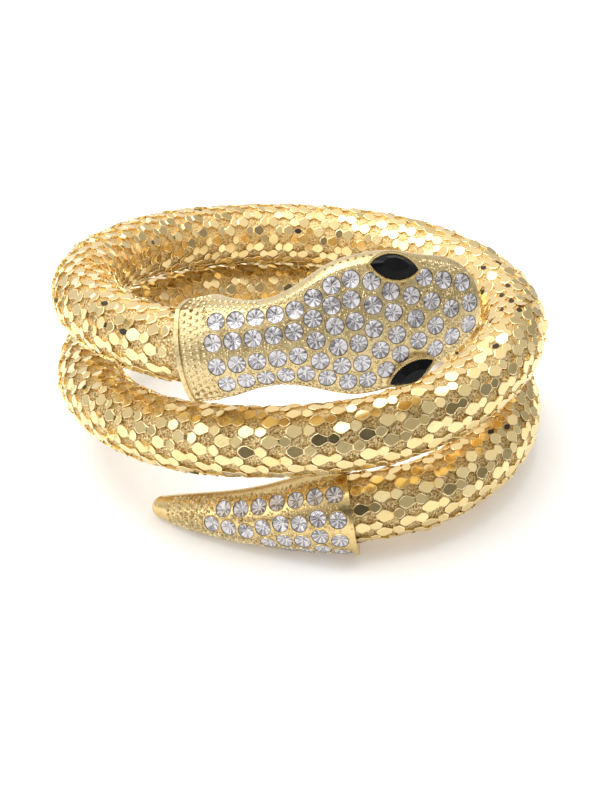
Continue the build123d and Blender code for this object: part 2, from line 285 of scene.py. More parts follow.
def recessLook(s):
    coords = objectCoords(s)
    speck = grain(s, coords, 3200.0, 3.0, 0.7)
    patch = grain(s, coords, 500.0, 2.0)
    # painted shade: the recess floor is a darker brown than the plates, for the shade in the recesses; the
    # inside attribute tints it amber as painted reflection; the specks are grain
    shadedRecessBrown = patch.ramp(0.35, 0.65).blend((0.50, 0.345, 0.145, 1), (0.66, 0.49, 0.23, 1))
    inside = attribute(s, "inside")
    warm = inside.blend(shadedRecessBrown, (0.93, 0.68, 0.30, 1))
    dark = inside.blend((0.20, 0.115, 0.04, 1), (0.50, 0.33, 0.13, 1))
    pitted = speck.ramp(0.38, 0.48).blend(dark, warm)
    return {"Base Color": speck.ramp(0.53, 0.62).blend(pitted, (0.97, 0.82, 0.50, 1)),
            "Roughness": 0.50 - speck.ramp(0.5, 0.7) * 0.28,
            "Normal": bump(s, speck, 1.0, 0.22)}


def shadeLook(s):
    # painted shade: near-black brown for the slots in the recesses and the seams round the stones
    mist = grain(s, objectCoords(s), 2500.0, 2.0)
    return {"Base Color": mist.blend((0.010, 0.006, 0.003, 1), (0.06, 0.035, 0.014, 1)),
            "Roughness": 0.55 + mist * 0.3}


shadeBrown = newMaterial("painted gap shade", shadeLook)
plateGold = newMaterial("burnished scale gold", goldPlateLook, Metallic=1.0)
recessGold = newMaterial("grained recess gold painted shade", recessLook, Metallic=1.0)


# scale mesh

mesh = {
    "rows": 22, "cells": 66, "floor": 5.16, "top": 5.50, "gap": 0.02, "bevel": 0.10, "drop": 0.045,
    "neck": 0.22, "small": 0.345,      # phases of the neck and of the small lobe
    "low": (0.285, 0.32, 0.42), "high": (0.715, 0.68, 0.58), "tilt": 4.4, "shingle": 6.2,
    # stations along a plate, from one end to the other, and how far its outline is drawn in there
    "phases": (-0.14, -0.10, -0.05, 0.02, 0.09, 0.15, 0.20, 0.24, 0.29, 0.345, 0.40, 0.44, 0.47),
    "rounding": (0.50, 0.80, 0.97, 1, 1, 1, 1, 1, 1, 1, 0.98, 0.84, 0.55),
    "split": 7,                        # stations before this one belong to the big lobe
    "lobes": (0.03, 0.34), "middle": 0.17,
    "headEnd": 0.9, "tailEnd": 0.3, "overlap": 0.2, "floorStep": 1.2, "floorSides": 72,
}
meshStart = coil["socket"] + mesh["headEnd"]
meshEnd = pathLength[-1] - coil["socket"] - mesh["tailEnd"]
meshPitch = (meshEnd - meshStart) / mesh["cells"]
rowAngle = 2 * np.pi / mesh["rows"]
splitPlace = onCoil(np.array([coil["bearing"] - coil["splitTurn"]]), coil["radius"],
                    coil["tubeRadius"] + coil["splitHeight"] * coil["rise"])
splitLength = pathLength[np.argmin(np.linalg.norm(pathPoints - splitPlace, axis=1))]


def paintedReflectionShare(s, angle):
    # how much painted reflection the gold gets: an amber tint for light that scales mirror from
    # other scales, on the top of the front of the coil and low on the inside
    place, _ = tubePoint(s, angle, np.zeros(s.shape))
    front = np.clip(0.2 - place[..., 1] / 40.0 + np.clip(place[..., 0] / 60.0, 0, 0.5), 0, 1)
    turn = np.degrees(angle) % 360
    upper = np.clip((turn - 45) / 35, 0, 1) * np.clip((200 - turn) / 30, 0, 1) * front
    lower = np.clip((turn - 165) / 40, 0, 1) * np.clip((310 - turn) / 40, 0, 1)
    return np.maximum(upper, lower * 0.8)


def rowHalfHeight(phase):
    # half height of a row at a phase, in row spacings: three swellings a pitch, and the row
    # beside it, half a pitch on, has just the rest, so plates and recesses fill the tube
    a, b = mesh["neck"], mesh["small"]
    low, high = mesh["low"], mesh["high"]
    xs = [0, a, b, 0.5, 0.5 + a, 0.5 + b, 1.0]
    ys = [high[1], low[0], high[2], low[1], high[0], low[2], high[1]]
    phase = phase % 1.0
    k = np.clip(np.searchsorted(xs, phase, side="right") - 1, 0, 5)
    xs, ys = np.array(xs), np.array(ys)
    t = (phase - xs[k]) / (xs[k + 1] - xs[k])
    t = 0.45 * t + 0.55 * t * t * (3 - 2 * t)
    return ys[k] + (ys[k + 1] - ys[k]) * t


def rowsAndCells(cells):
    # row and cell number of every place on the tube
    return [x.ravel() for x in np.meshgrid(np.arange(mesh["rows"]), np.arange(cells), indexing="ij")]


def scalePlates(start, end):
    # every plate is a big lobe, a neck and a small lobe. Each lobe's top is flat and tilted a
    # little at random. Rings of points: top, rim after the bevel, foot on the recess floor
    phases, rounding = np.array(mesh["phases"]), np.array(mesh["rounding"])
    left, right, stations = phases[0], phases[-1], len(phases)
    row, cell = rowsAndCells(mesh["cells"] + 1)
    base = cell + 0.5 * (row % 2)                   # phase 0 of each plate, in pitches from the tail
    ring = []
    for inset, radius in ((mesh["gap"] + mesh["bevel"], mesh["top"]),
                          (mesh["gap"], mesh["top"] - mesh["drop"]),
                          (mesh["gap"] * 0.6, mesh["floor"] - 0.1)):
        shift = np.interp(phases, [left, (left + right) / 2, right], [inset, 0, -inset]) / meshPitch
        phase = base[:, None] + (phases + shift)[None, :]
        half = (rowHalfHeight(phases) * rounding)[None, :] * rowAngle - inset / mesh["top"]
        s = meshEnd - phase * meshPitch
        angle = row[:, None] * rowAngle
        s2 = np.concatenate([s, s[:, ::-1]], 1)
        a2 = np.concatenate([angle + half, (angle - half)[:, ::-1]], 1)
        ring.append((s2, a2, radius))
    # lobes' flat tops: tangent plane at the lobe's middle, tilted
    points = []
    small = np.arange(stations) >= mesh["split"]
    lobeOf = np.concatenate([small, small[::-1]]).astype(int)
    middle = base[:, None] + np.array(mesh["lobes"])[None, :]
    ms = meshEnd - middle * meshPitch
    ma = (row[:, None] * rowAngle) * np.ones(2)[None, :]
    mid, normal = tubePoint(ms, ma, np.full(ms.shape, mesh["top"]))
    along = unit(tubePoint(ms + 0.1, ma, np.full(ms.shape, mesh["top"]))[0] - mid)
    across = np.cross(normal, along)
    tiltA = np.radians(rng.normal(0, mesh["tilt"], ms.shape) + mesh["shingle"])
    tiltB = np.radians(rng.normal(0, mesh["tilt"], ms.shape))
    face = unit(normal + along * np.tan(tiltA)[..., None] + across * np.tan(tiltB)[..., None])
    for k, (s, a, radius) in enumerate(ring):
        p, around = tubePoint(s, a, np.full(s.shape, radius))
        if k < 2:
            m, f = mid[:, lobeOf], face[:, lobeOf]
            m = m - f * (mesh["top"] - radius)
            p = p + around * (np.sum((m - p) * f, -1) / np.sum(around * f, -1))[..., None]
        points.append(p)
    points = np.stack(points, 1)                    # plate, ring, point, xyz
    middleS = meshEnd - (base + mesh["middle"]) * meshPitch
    keep = (middleS > start) & (middleS <= end)
    points = points[keep]
    count = len(points)
    size = 2 * stations
    j = np.arange(size)
    nextJ = (j + 1) % size
    sides = [np.stack([size * r + j, size * r + nextJ, size * (r + 1) + nextJ, size * (r + 1) + j], -1)
             for r in (0, 1)]
    i = np.arange(stations - 1)
    top = np.stack([i, size - 1 - i, size - 2 - i, i + 1], -1)
    onePlate = np.vstack([top[:, ::-1]] + sides)
    quads = repeated(onePlate, count, 3 * size)
    each = len(onePlate)
    # painted reflection share of each plate
    inside = paintedReflectionShare(middleS[keep], row[keep] * rowAngle)
    # rim marks the bevel faces that get the painted highlight colour
    values = {"tone": np.repeat(rng.uniform(0, 1, count), each), "inside": np.repeat(inside, each),
              "rim": np.tile(np.repeat([0.0, 1.0, 0.0], [stations - 1, size, size]), count)}
    return points.reshape(-1, 3), quads, values


def meshFloor(start, end):
    # plain round tube under the plates
    s = np.linspace(start, end, int((end - start) / mesh["floorStep"]))
    a = np.linspace(0, 2 * np.pi, mesh["floorSides"], endpoint=False)
    ss, aa = np.meshgrid(s, a, indexing="ij")
    p, around = tubePoint(ss, aa, np.full(ss.shape, mesh["floor"]))
    return p.reshape(-1, 3), gridQuads(len(s), len(a), wrap=True), paintedReflectionShare(ss, aa)[:-1].ravel()


paintedShadeSlot = {"phase": 0.72, "bearing": -2.0, "spread": 32.0, "upwards": 0.25, "outwards": 0.45, "share": 0.025,
            "pulledShare": 0.5, "length": 1.7, "width": 1.0, "lift": 0.05, "sides": 12}


def paintedShadeSlots():
    # painted shade: dark lens-shaped slots in a few recesses, here and there, and many on the inside of the
    # bend by the snout, where the scales are pulled apart
    row, cell = rowsAndCells(mesh["cells"])
    s = meshEnd - (cell + 0.5 * (row % 2) + paintedShadeSlot["phase"]) * meshPitch
    angle = row * rowAngle
    place, out = tubePoint(s, angle, np.full(s.shape, mesh["floor"]))
    bearing = np.degrees(np.arctan2(place[:, 1], place[:, 0]))
    pulled = ((np.abs(bearing - paintedShadeSlot["bearing"]) < paintedShadeSlot["spread"])
              & (out[:, 2] > paintedShadeSlot["upwards"]) & (np.cos(angle) < paintedShadeSlot["outwards"]))
    chosen = rng.uniform(0, 1, len(s)) < np.where(pulled, paintedShadeSlot["pulledShare"], paintedShadeSlot["share"])
    s, angle = s[chosen, None], angle[chosen, None]
    sides, radius = paintedShadeSlot["sides"], mesh["floor"] + paintedShadeSlot["lift"]
    t = np.linspace(0, 2 * np.pi, sides, endpoint=False)
    halfAngle = paintedShadeSlot["width"] / 2 / mesh["floor"]
    edge, _ = tubePoint(s + paintedShadeSlot["length"] / 2 * np.cos(t),
                        angle + halfAngle * np.sin(t) * np.abs(np.sin(t)), np.full((len(s), sides), radius))
    middle, _ = tubePoint(s, angle, np.full(s.shape, radius))
    j = np.arange(sides)
    fan = np.stack([(j + 1) % sides, j, np.full(sides, sides)], -1)
    makePiece("mesh painted shade slots", np.concatenate([edge, middle], 1).reshape(-1, 3), noQuads, shadeBrown,
              tris=repeated(fan, len(s), sides + 1))


for name, node, low, high in (("upper scales", "scale_mesh_upper", meshStart, splitLength),
                              ("lower scales", "scale_mesh_lower", splitLength, meshEnd)):
    points, quads, values = scalePlates(low, high)
    makePiece(name, points, quads, plateGold, values=values, replaces=(node,))
    # the floor runs on into the sockets, and past the split
    first = mesh["tailEnd"] if low == meshStart else low - mesh["overlap"]
    final = pathLength[-1] - mesh["tailEnd"] if high == meshEnd else high + mesh["overlap"]
    points, quads, inside = meshFloor(first, final)
    makePiece(name + " floor", points, quads, recessGold, smooth=True, values={"inside": inside},
              replaces=(node,))
paintedShadeSlots()


# castings

def castLook(s):
    coords = objectCoords(s)
    fine = grain(s, coords, 2300.0, 4.0, 0.7)
    wide = grain(s, coords, 260.0, 2.0)
    warm = wide.ramp(0.3, 0.7).blend((0.67, 0.53, 0.27, 1), (0.75, 0.61, 0.34, 1))
    return {"Base Color": fine.ramp(0.34, 0.50).blend((0.40, 0.28, 0.11, 1), warm),
            "Roughness": 0.26 + fine * 0.16,
            "Normal": bump(s, fine, 0.7, 0.09)}


def tailLook(s):
    # the tail's casting is smoother than the head's
    coords = objectCoords(s)
    fine = grain(s, coords, 1900.0, 3.0, 0.6)
    wide = grain(s, coords, 300.0, 2.0)
    warm = wide.ramp(0.3, 0.7).blend((0.66, 0.48, 0.20, 1), (0.75, 0.57, 0.27, 1))
    return {"Base Color": fine.ramp(0.30, 0.42).blend((0.48, 0.34, 0.13, 1), warm),
            "Roughness": 0.15 + fine * 0.14,
            "Normal": bump(s, fine, 0.45, 0.07)}


def sandLook(s):
    # low grains of the ground between the stones, each of its own tone
    coords = objectCoords(s)
    fine = grain(s, coords, 900.0, 2.0)
    tone = attribute(s, "tone") * 0.8 + fine * 0.2
    return {"Base Color": tone.blend((0.40, 0.28, 0.11, 1), (0.97, 0.84, 0.54, 1)),
            "Roughness": 0.20 + fine * 0.14,
            "Normal": bump(s, fine, 0.2, 0.04)}


def beadLook(s):
    coords = objectCoords(s)
    fine = grain(s, coords, 1800.0, 2.0)
    return {"Base Color": fine.ramp(0.3, 0.7).blend((0.68, 0.53, 0.27, 1), (0.84, 0.71, 0.45, 1)),
            "Roughness": 0.16 + fine * 0.10,
            "Normal": bump(s, fine, 0.15, 0.03)}


def pitShadeLook(s):
    # painted shade: the dark colour stands in for the shade inside a pit
    fine = grain(s, objectCoords(s), 3000.0, 2.0)
    return {"Base Color": fine.blend((0.10, 0.05, 0.015, 1), (0.30, 0.17, 0.06, 1)),
            "Roughness": 0.5 + fine * 0.2}


castGold = newMaterial("cast gold", castLook, Metallic=1.0)
tailGold = newMaterial("polished cast gold", tailLook, Metallic=1.0)
sandGold = newMaterial("sand grained gold", sandLook, Metallic=1.0)
beadGold = newMaterial("polished bead gold", beadLook, Metallic=1.0)
pitGold = newMaterial("shaded pit gold", pitShadeLook, Metallic=0.6)
for node, gold in (("head_shell", castGold), ("tail_shell", tailGold)):
    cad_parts[node].data.materials.clear()
    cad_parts[node].data.materials.append(gold)


# the head's surface: sections carried along a bent, climbing line

head = {
    "length": 46.8, "halfWidth": 10.4, "depth": 7.0, "bend": 52.7, "roll": 18.0, "offset": 0.7,
    "overTube": 6.5, "collarHalf": 7.45, "collarDepth": 13.0, "faceLimit": 0.9,
    "along": (0, .118, .213, .320, .428, .534, .641, .748, .854, .945, .983, 1),
    "collar": (1, .9, .2, 0, 0, 0, 0, 0, 0, 0, 0, 0),
    "face": (.650, .640, .590, .590, .700, .875, .910, .855, .705, .530, .400, .280),
    "width": (1.0, .760, .620, .630, .780, .960, 1.0, .950, .790, .650, .500, .360),
    "back": (.540, .540, .470, .500, .610, .800, .860, .810, .670, .500, .370, .250),
    "drop": (.340, .330, .300, .270, .230, .260, .285, .280, .220, .155, .120, .090),
    "deep": (1.0, 1.5, 1.22, 1.08, 1.02, 1.0, 1.0, .970, .880, .740, .580, .430),
}
headWay = unit(unit(pathKnots[1] - pathKnots[2]) + heading(coil["headHeading"], coil["headClimb"]))
headStart = headWay * coil["lead"] + pathKnots[1]


def headFrame(along):
    # origin on the crown line, the way forward, the way out of the face and the way across
    h = np.radians(coil["headHeading"]) + along / head["bend"]
    c = np.radians(coil["headClimb"]) * (1 - along / head["length"])
    forward = np.stack([np.cos(h) * np.cos(c), np.sin(h) * np.cos(c), np.sin(c)], -1)
    outward = np.stack([np.sin(h), -np.cos(h), 0 * h], -1)
    across = np.cross(outward, forward)
    roll = math.radians(head["roll"])
    face = outward * math.cos(roll) + across * math.sin(roll)
    side = across * math.cos(roll) - outward * math.sin(roll)
    first = math.radians(coil["headHeading"])
    x = head["bend"] * (np.sin(h) - math.sin(first))
    y = -head["bend"] * (np.cos(h) - math.cos(first))
    z = math.radians(coil["headClimb"]) * along * (1 - along / (2 * head["length"]))
    point = np.stack([x, y, z], -1)
    return point, forward, face, side


headZero = headFrame(np.zeros(1))
headOrigin = headStart + headZero[2][0] * head["overTube"] - headZero[3][0] * head["offset"]


def headPoint(along, q):
    # q is 0 on the crown line, 1 or -1 at the face's edges and 2 or -2 at the back's
    half, deep = head["halfWidth"], head["depth"]
    collar = np.array(head["collar"])
    width = collar * head["collarHalf"] + (1 - collar) * np.array(head["width"]) * half
    depth = collar * head["collarDepth"] + (1 - collar) * np.array(head["deep"]) * deep
    face = np.minimum(np.array(head["face"]) * half, head["faceLimit"] * width)
    sizes = np.stack([face, width, np.array(head["back"]) * half, np.array(head["drop"]) * deep, depth], -1)
    at = smoothCurve(np.array(head["along"]) * head["length"], sizes, np.ravel(along))
    face, width, back, drop, depth = np.moveaxis(at.reshape(np.shape(along) + (5,)), -1, 0)
    size = np.abs(q)
    onFace = np.minimum(size, 1)
    t = np.clip(size - 1, 0, 1)
    middle = (drop + depth) / 2
    bend = 2 * width - (face + back) / 2            # control point of the side's arc
    x = np.where(size <= 1, onFace * face, (1 - t) ** 2 * face + 2 * t * (1 - t) * bend + t * t * back)
    y = np.where(size <= 1, -drop * onFace ** 2,
                 -((1 - t) ** 2 * drop + 2 * t * (1 - t) * middle + t * t * depth))
    point, forward, out, side = headFrame(np.asarray(along, float))
    return headOrigin + point + side * (np.sign(q) * x)[..., None] + out * y[..., None]


def surfaceFrame(surface, u, v, du, dv):
    # point and outward normal, by small differences
    a = surface(u + du, v) - surface(u - du, v)
    b = surface(u, v + dv) - surface(u, v - dv)
    return surface(u, v), unit(np.cross(a, b))


# beads: small domes strewn over a surface as whole arrays

dome = ((1.0, -0.15), (0.72, 0.66), (0.0, 1.0))
boss = ((1.0, -0.3), (0.86, 0.42), (0.55, 0.52), (0.26, 0.18), (0.0, 0.06))   # a ring with a dimple
# painted shade: a flat dark disc standing in for the shade inside a drilled pit
pitShadeDisc = ((1.0, 0.10), (0.6, 0.16), (0.0, 0.16))                               # a drilled pit's dark disc


def beads(name, place, normal, radius, material, sides=6, profile=dome, tones=False):
    # rings of points up the profile, each a share of the radius across and up, and a last point
    turn = np.linspace(0, 2 * np.pi, sides, endpoint=False)
    count = len(place)
    radius = np.broadcast_to(radius, (count,))
    helper = np.where(np.abs(normal[:, 2:3]) < 0.9, [[0, 0, 1.0]], [[1.0, 0, 0]])
    ex = unit(np.cross(helper, normal))
    ey = np.cross(normal, ex)
    rings = []
    for across, up in profile:
        if across:
            ring = ex[:, None] * np.cos(turn)[None, :, None] + ey[:, None] * np.sin(turn)[None, :, None]
        else:
            ring = np.zeros((count, 1, 3))
        rings.append(place[:, None] + radius[:, None, None] * (across * ring + up * normal[:, None]))
    points = np.concatenate(rings, 1)
    levels = len(profile) - 1
    per = levels * sides + 1
    j = np.arange(sides)
    k = (j + 1) % sides
    quads = np.vstack([np.stack([j, k, k + sides, j + sides], -1) + sides * level
                       for level in range(levels - 1)])
    last = (levels - 1) * sides
    tris = np.stack([j + last, k + last, np.full(sides, levels * sides)], -1)
    values = {}
    if tones:
        each = rng.uniform(0, 1, count)
        values["tone"] = np.concatenate([np.repeat(each, len(quads)), np.repeat(each, len(tris))])
    makePiece(name, points.reshape(-1, 3), repeated(quads, count, per), material,
              tris=repeated(tris, count, per), smooth=True, values=values)


def clearOf(place, centres, reach):
    # True where a place is further than reach from every centre
    gap = np.linalg.norm(place[:, None] - centres[None], axis=-1).min(1)
    return gap > reach


# stones, set where the CAD model has them

def stoneFrames(node, count):
    # middle, axis and long direction of each loose stone, from the spread of its corners
    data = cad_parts[node].data
    corners = np.zeros(len(data.loops), np.int32)
    data.loops.foreach_get("vertex_index", corners)
    points = np.zeros(len(data.vertices) * 3, np.float32)
    data.vertices.foreach_get("co", points)
    groups = points.reshape(-1, 3)[corners].reshape(count, -1, 3).astype(float) / mm
    low, high = groups.min(1), groups.max(1)
    middle = groups.mean(1)
    spread = groups - middle[:, None]
    _, vectors = np.linalg.eigh(np.einsum("nij,nik->njk", spread, spread))
    axis, longWay = vectors[:, :, 0], vectors[:, :, 2]
    along = np.einsum("nij,nj->ni", spread, axis)
    turn = np.where(along.max(1) > -along.min(1), -1.0, 1.0)    # the pavilion is the deep side
    axis = axis * turn[:, None]
    culet = np.einsum("nij,nj->ni", spread, axis).min(1)
    print(node, count, "stones, largest", round(float((high - low).max()), 2), "mm")
    return middle + axis * culet[:, None], axis, longWay


stone = {"radius": 1.30, "culetToGirdle": 0.86, "table": 0.64, "crown": 0.30, "girdle": 0.04, "sides": 16,
         "midRadius": 0.83, "midHeight": 0.58, "point": 0.02}
paintedSparkleFoil = {"depth": 0.40, "wedges": 18, "dark": (0.0, 0.42), "bright": (0.90, 1.0), "swapped": 0.22,
            "wider": 0.03, "lean": 0.14, "edge": (-0.12, -0.07), "bendRadius": (0.42, 0.62),
            "bendHeight": (-0.42, -0.24)}
# the rim's lines, each as distance past the stone's edge and height over its girdle: the first
# two bound the painted seam shadow, the others the gold lip
rim = {"sides": 24, "lines": ((-0.01, -0.03), (0.09, 0.04), (0.12, 0.06), (0.155, 0.03), (0.18, -0.2))}


def glassLook(s):
    # light passes straight through to the foil, and the facets mirror the room by their angle
    mist = grain(s, objectCoords(s), 1500.0, 2.0)
    glance = s.node("ShaderNodeLayerWeight", {}, {"Blend": 0.5}, "Facing")
    return {"Base Color": mist.blend((0.95, 0.93, 0.97, 1), (1.0, 0.99, 1.0, 1)),
            "Roughness": mist * 0.04,
            "Alpha": (0.09 + glance ** 3.0 * 0.8).clip()}


def paintedSparkleFoilLook(s):
    # painted reflection: the foil's dark and bright wedges stand in for the sparkle of the stone's facets
    tone = attribute(s, "tone")
    mist = grain(s, objectCoords(s), 1400.0, 2.0)
    light = mist.ramp(0.35, 0.65).blend((0.92, 0.87, 0.90, 1), (1.0, 0.97, 0.985, 1))
    return {"Base Color": tone.blend((0.05, 0.043, 0.048, 1), light),
            "Roughness": 0.22 + mist * 0.18}


def eyeLook(s):
    tone = grain(s, objectCoords(s), 700.0, 2.0)
    return {"Base Color": tone.blend((0.002, 0.002, 0.002, 1), (0.008, 0.008, 0.009, 1)),
            "Roughness": 0.03 + tone * 0.05}


crystal = newMaterial("clear crystal", glassLook, Metallic=1.0)
foil = newMaterial("stone foil", paintedSparkleFoilLook, Metallic=0.1)
eyeGlass = newMaterial("black eye glass", eyeLook, IOR=1.42, Specular_IOR_Level=0.12)
for node in ("upper_eye", "lower_eye"):
    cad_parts[node].data.materials.clear()
    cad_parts[node].data.materials.append(eyeGlass)


def setStones(name, node, count):
    # a round brilliant of clear glass, over a shallow star of foil wedges painted dark and bright as sparkle,
    # in a rim with a painted seam shadow
    culet, axis, longWay = stoneFrames(node, count)
    girdle = culet + axis * stone["culetToGirdle"]
    ex = unit(np.cross(axis, longWay))
    ey = np.cross(axis, ex)
    spin = rng.uniform(0, np.pi, count)
    r, edge, n = stone["radius"], stone["girdle"], stone["sides"]
    half = n // 2

    def around(radius, height, angle):
        # points round every stone's axis: one row for each stone, one column for each angle
        circle = ex[:, None] * np.cos(angle)[..., None] + ey[:, None] * np.sin(angle)[..., None]
        radius, height = np.broadcast_to(radius, angle.shape), np.broadcast_to(height, angle.shape)
        return girdle[:, None] + circle * radius[..., None] + axis[:, None] * height[..., None]

    def ring(radius, height, sides, turned=0.0):
        t = np.linspace(0, 2 * np.pi, sides, endpoint=False) + turned + spin[:, None]
        return around(radius, height, t)

    # crystal: table, middle ring turned by half a facet, girdle's two edges, point
    body = np.concatenate([
        ring(r * stone["table"], edge + stone["crown"], half),
        ring(r * stone["midRadius"], edge + stone["crown"] * stone["midHeight"], half, 2 * np.pi / n),
        ring(r, edge, n), ring(r, -edge, n),
        ring(stone["point"], stone["point"] - paintedSparkleFoil["depth"], 1)], 1)
    j, k = np.arange(half), (np.arange(half) + 1) % half
    star, rimTop, rimFoot, point = half, 2 * half, 2 * half + n, 2 * half + 2 * n
    g, h = np.arange(n), (np.arange(n) + 1) % n
    tris = np.vstack([
        np.stack([np.zeros(half - 2, int), np.arange(1, half - 1), np.arange(2, half)], -1),
        np.stack([j, star + j, k], -1),
        np.stack([star + j, rimTop + 2 * j, rimTop + 2 * j + 1], -1),
        np.stack([star + j, rimTop + 2 * j + 1, rimTop + (2 * j + 2) % n], -1),
        np.stack([rimFoot + h, rimFoot + g, np.full(n, point)], -1)])
    kites = np.stack([j, star + (j - 1) % half, rimTop + 2 * j, star + j], -1)
    quads = np.vstack([kites, np.stack([rimTop + h, rimTop + g, rimFoot + g, rimFoot + h], -1)])
    per = body.shape[1]
    makePiece(name, body.reshape(-1, 3), repeated(quads, count, per), crystal,
              tris=repeated(tris, count, per), replaces=(node,))

    # foil: wedges from the rim to the middle, dark and bright by turns as painted sparkle, each tipped a
    # little
    m = paintedSparkleFoil["wedges"]
    odd = np.arange(m) % 2
    lean = np.where(odd, paintedSparkleFoil["lean"], -paintedSparkleFoil["lean"]) * np.pi / m
    t = np.linspace(0, 2 * np.pi, m, endpoint=False) + lean + spin[:, None]
    outer = around(r + paintedSparkleFoil["wider"], rng.uniform(*paintedSparkleFoil["edge"], t.shape), t)
    bendRadius = rng.uniform(*paintedSparkleFoil["bendRadius"], t.shape)
    inner = around(bendRadius, rng.uniform(*paintedSparkleFoil["bendHeight"], t.shape), t + np.pi / m)
    centre = around(stone["point"], -paintedSparkleFoil["depth"] - stone["point"], spin[:, None])
    g, h = np.arange(m), (np.arange(m) + 1) % m
    wedges = np.vstack([np.stack([g, h, m + g], -1), np.stack([h, m + h, m + g], -1),
                        np.stack([m + g, m + h, np.full(m, 2 * m)], -1)])
    bright = np.tile(odd, 3)[None] * np.ones((count, 1))
    swapped = rng.uniform(0, 1, bright.shape) < paintedSparkleFoil["swapped"]
    bright = np.where(swapped, 1 - bright, bright)
    tone = np.where(bright > 0.5, rng.uniform(*paintedSparkleFoil["bright"], bright.shape),
                    rng.uniform(*paintedSparkleFoil["dark"], bright.shape))
    makePiece(name + " foil", np.concatenate([outer, inner, centre], 1).reshape(-1, 3), noQuads, foil,
              tris=repeated(wedges, count, 2 * m + 1), values={"tone": tone.ravel()})

    # rim: a strip inside painted dark as the seam's shadow, and a rounded gold lip outside it
    sides = rim["sides"]
    t = np.linspace(0, 2 * np.pi, sides, endpoint=False) * np.ones((count, 1))
    lines = [around(r + out, high, t) for out, high in rim["lines"]]
    for label, part, gold in ((" seams", lines[:2], shadeBrown), (" rims", lines[1:], beadGold)):
        strip = gridQuads(len(part), sides, wrap=True)[:, ::-1]
        makePiece(name + label, np.concatenate(part, 1).reshape(-1, 3),
                  repeated(strip, count, len(part) * sides), gold, smooth=True)
    return girdle


headStones = setStones("head crystals", "head_stones", 59)
tailStones = setStones("tail crystals", "tail_stones", 25)


# eyes: rows of small teeth round each bezel

def eyeOutline(length, width, count):
    # points evenly spread round two arcs that meet in points
    bow = (length * length / width + width) / 4
    reach = math.asin(length / 2 / bow)
    t = np.linspace(-reach, reach, count // 2, endpoint=False)
    x, y = bow * np.sin(t), bow * np.cos(t) - (bow - width / 2)
    return np.concatenate([x, -x]), np.concatenate([y, -y])


eye = {"length": 7.2, "width": 3.9, "bezel": 0.26, "teeth": 52, "tooth": 0.23, "culetToBezel": 1.10,
       "sunk": 0.02, "spine": 0.6}
bezelPlace, bezelNormal, eyeMiddles = [], [], []
for node in ("upper_eye", "lower_eye"):
    culet, axis, longWay = (a[0] for a in stoneFrames(node, 1))
    sideWay = np.cross(axis, longWay)
    plane = culet + axis * eye["culetToBezel"]
    x, y = eyeOutline(eye["length"] + 2 * eye["bezel"], eye["width"] + 2 * eye["bezel"], eye["teeth"])
    bezelPlace.append(plane + x[:, None] * longWay + y[:, None] * sideWay - axis * eye["sunk"])
    bezelNormal.append(np.repeat(axis[None], len(x), 0))
    t = np.linspace(-0.5, 0.5, 9)
    eyeMiddles.append(plane + t[:, None] * longWay * (eye["length"] - eye["width"] * eye["spine"]))
eyeMiddles = np.concatenate(eyeMiddles)
beads("eye bezel teeth", np.concatenate(bezelPlace), np.concatenate(bezelNormal), eye["tooth"],
      beadGold)


# beaded ground of the head

ground = {
    "pitch": 0.46, "stagger": 0.87, "bead": 0.20, "spread": (0.7, 1.15), "jitter": 0.2,
    "area": (5.0, 46.0, -10.5, 10.5), "clear": 0.30, "eyeClear": 2.25,
    "edgePitch": 0.94, "edgeBead": 0.35, "edgeClear": 0.25, "edgeEyeClear": 2.5,
    "pit": 0.22, "pits": (24.0, 31.5, 7), "pitsRound": 1.22,
    # rows along the head: where they begin and end, and how far round
    "edges": ((4.6, 44.0, 1.03), (4.6, 44.0, -1.03), (4.9, 13.0, 1.22), (4.6, 8.0, 0.86)),
    # rows across the collar: distance along, and from and to round it
    "collar": ((1.35, -1.85, 1.86), (2.35, -1.77, 1.86), (3.40, -1.85, 1.86), (4.35, -1.05, 1.55)),
    "collarPitch": 0.155,
}
# small steps along and round a surface; the tail's second is negative, so its normal points outwards
headStep = (0.05, 0.005)
tailStep = (0.05, -0.01)


def strewn(lowU, highU, lowV, highV, pitchU, pitchV, jitter):
    # staggered rows of parameter pairs with a little jitter
    u, v = np.meshgrid(np.arange(lowU, highU, pitchU), np.arange(lowV, highV, pitchV), indexing="ij")
    v = v + (np.arange(len(u)) % 2)[:, None] * pitchV / 2
    u = u.ravel() + rng.normal(0, jitter * pitchU, u.size)
    return u, v.ravel() + rng.normal(0, jitter * pitchV, v.size)


def faceHalf(along):
    # distance from the crown line to the face's edge
    edge, crown = headPoint(along, np.ones_like(along)), headPoint(along, np.zeros_like(along))
    return np.linalg.norm(edge - crown, axis=-1)


u, x = strewn(*ground["area"], ground["pitch"] * ground["stagger"], ground["pitch"], ground["jitter"])
q = x / faceHalf(u)
inside = np.abs(q) < 1.0
u, q = u[inside], q[inside]
place, normal = surfaceFrame(headPoint, u, q, *headStep)
keep = (clearOf(place, headStones, stone["radius"] + ground["clear"])
        & clearOf(place, eyeMiddles, ground["eyeClear"]))
size = ground["bead"] * rng.uniform(*ground["spread"], keep.sum())
beads("head ground beads", place[keep], normal[keep], size, sandGold, tones=True)

rows = []
for low, high, q in ground["edges"]:
    t = np.arange(low, high, ground["edgePitch"])
    rows.append(np.stack([t, np.full(len(t), q)], -1))
for along, low, high in ground["collar"]:
    t = np.arange(low, high, ground["collarPitch"])
    rows.append(np.stack([np.full(len(t), along), t], -1))
rows = np.vstack(rows)
place, normal = surfaceFrame(headPoint, rows[:, 0], rows[:, 1], *headStep)
keep = (clearOf(place, headStones, stone["radius"] + ground["edgeClear"])
        & clearOf(place, eyeMiddles, ground["edgeEyeClear"]))
beads("head edge beads", place[keep], normal[keep], ground["edgeBead"], beadGold,
      sides=9, profile=boss)

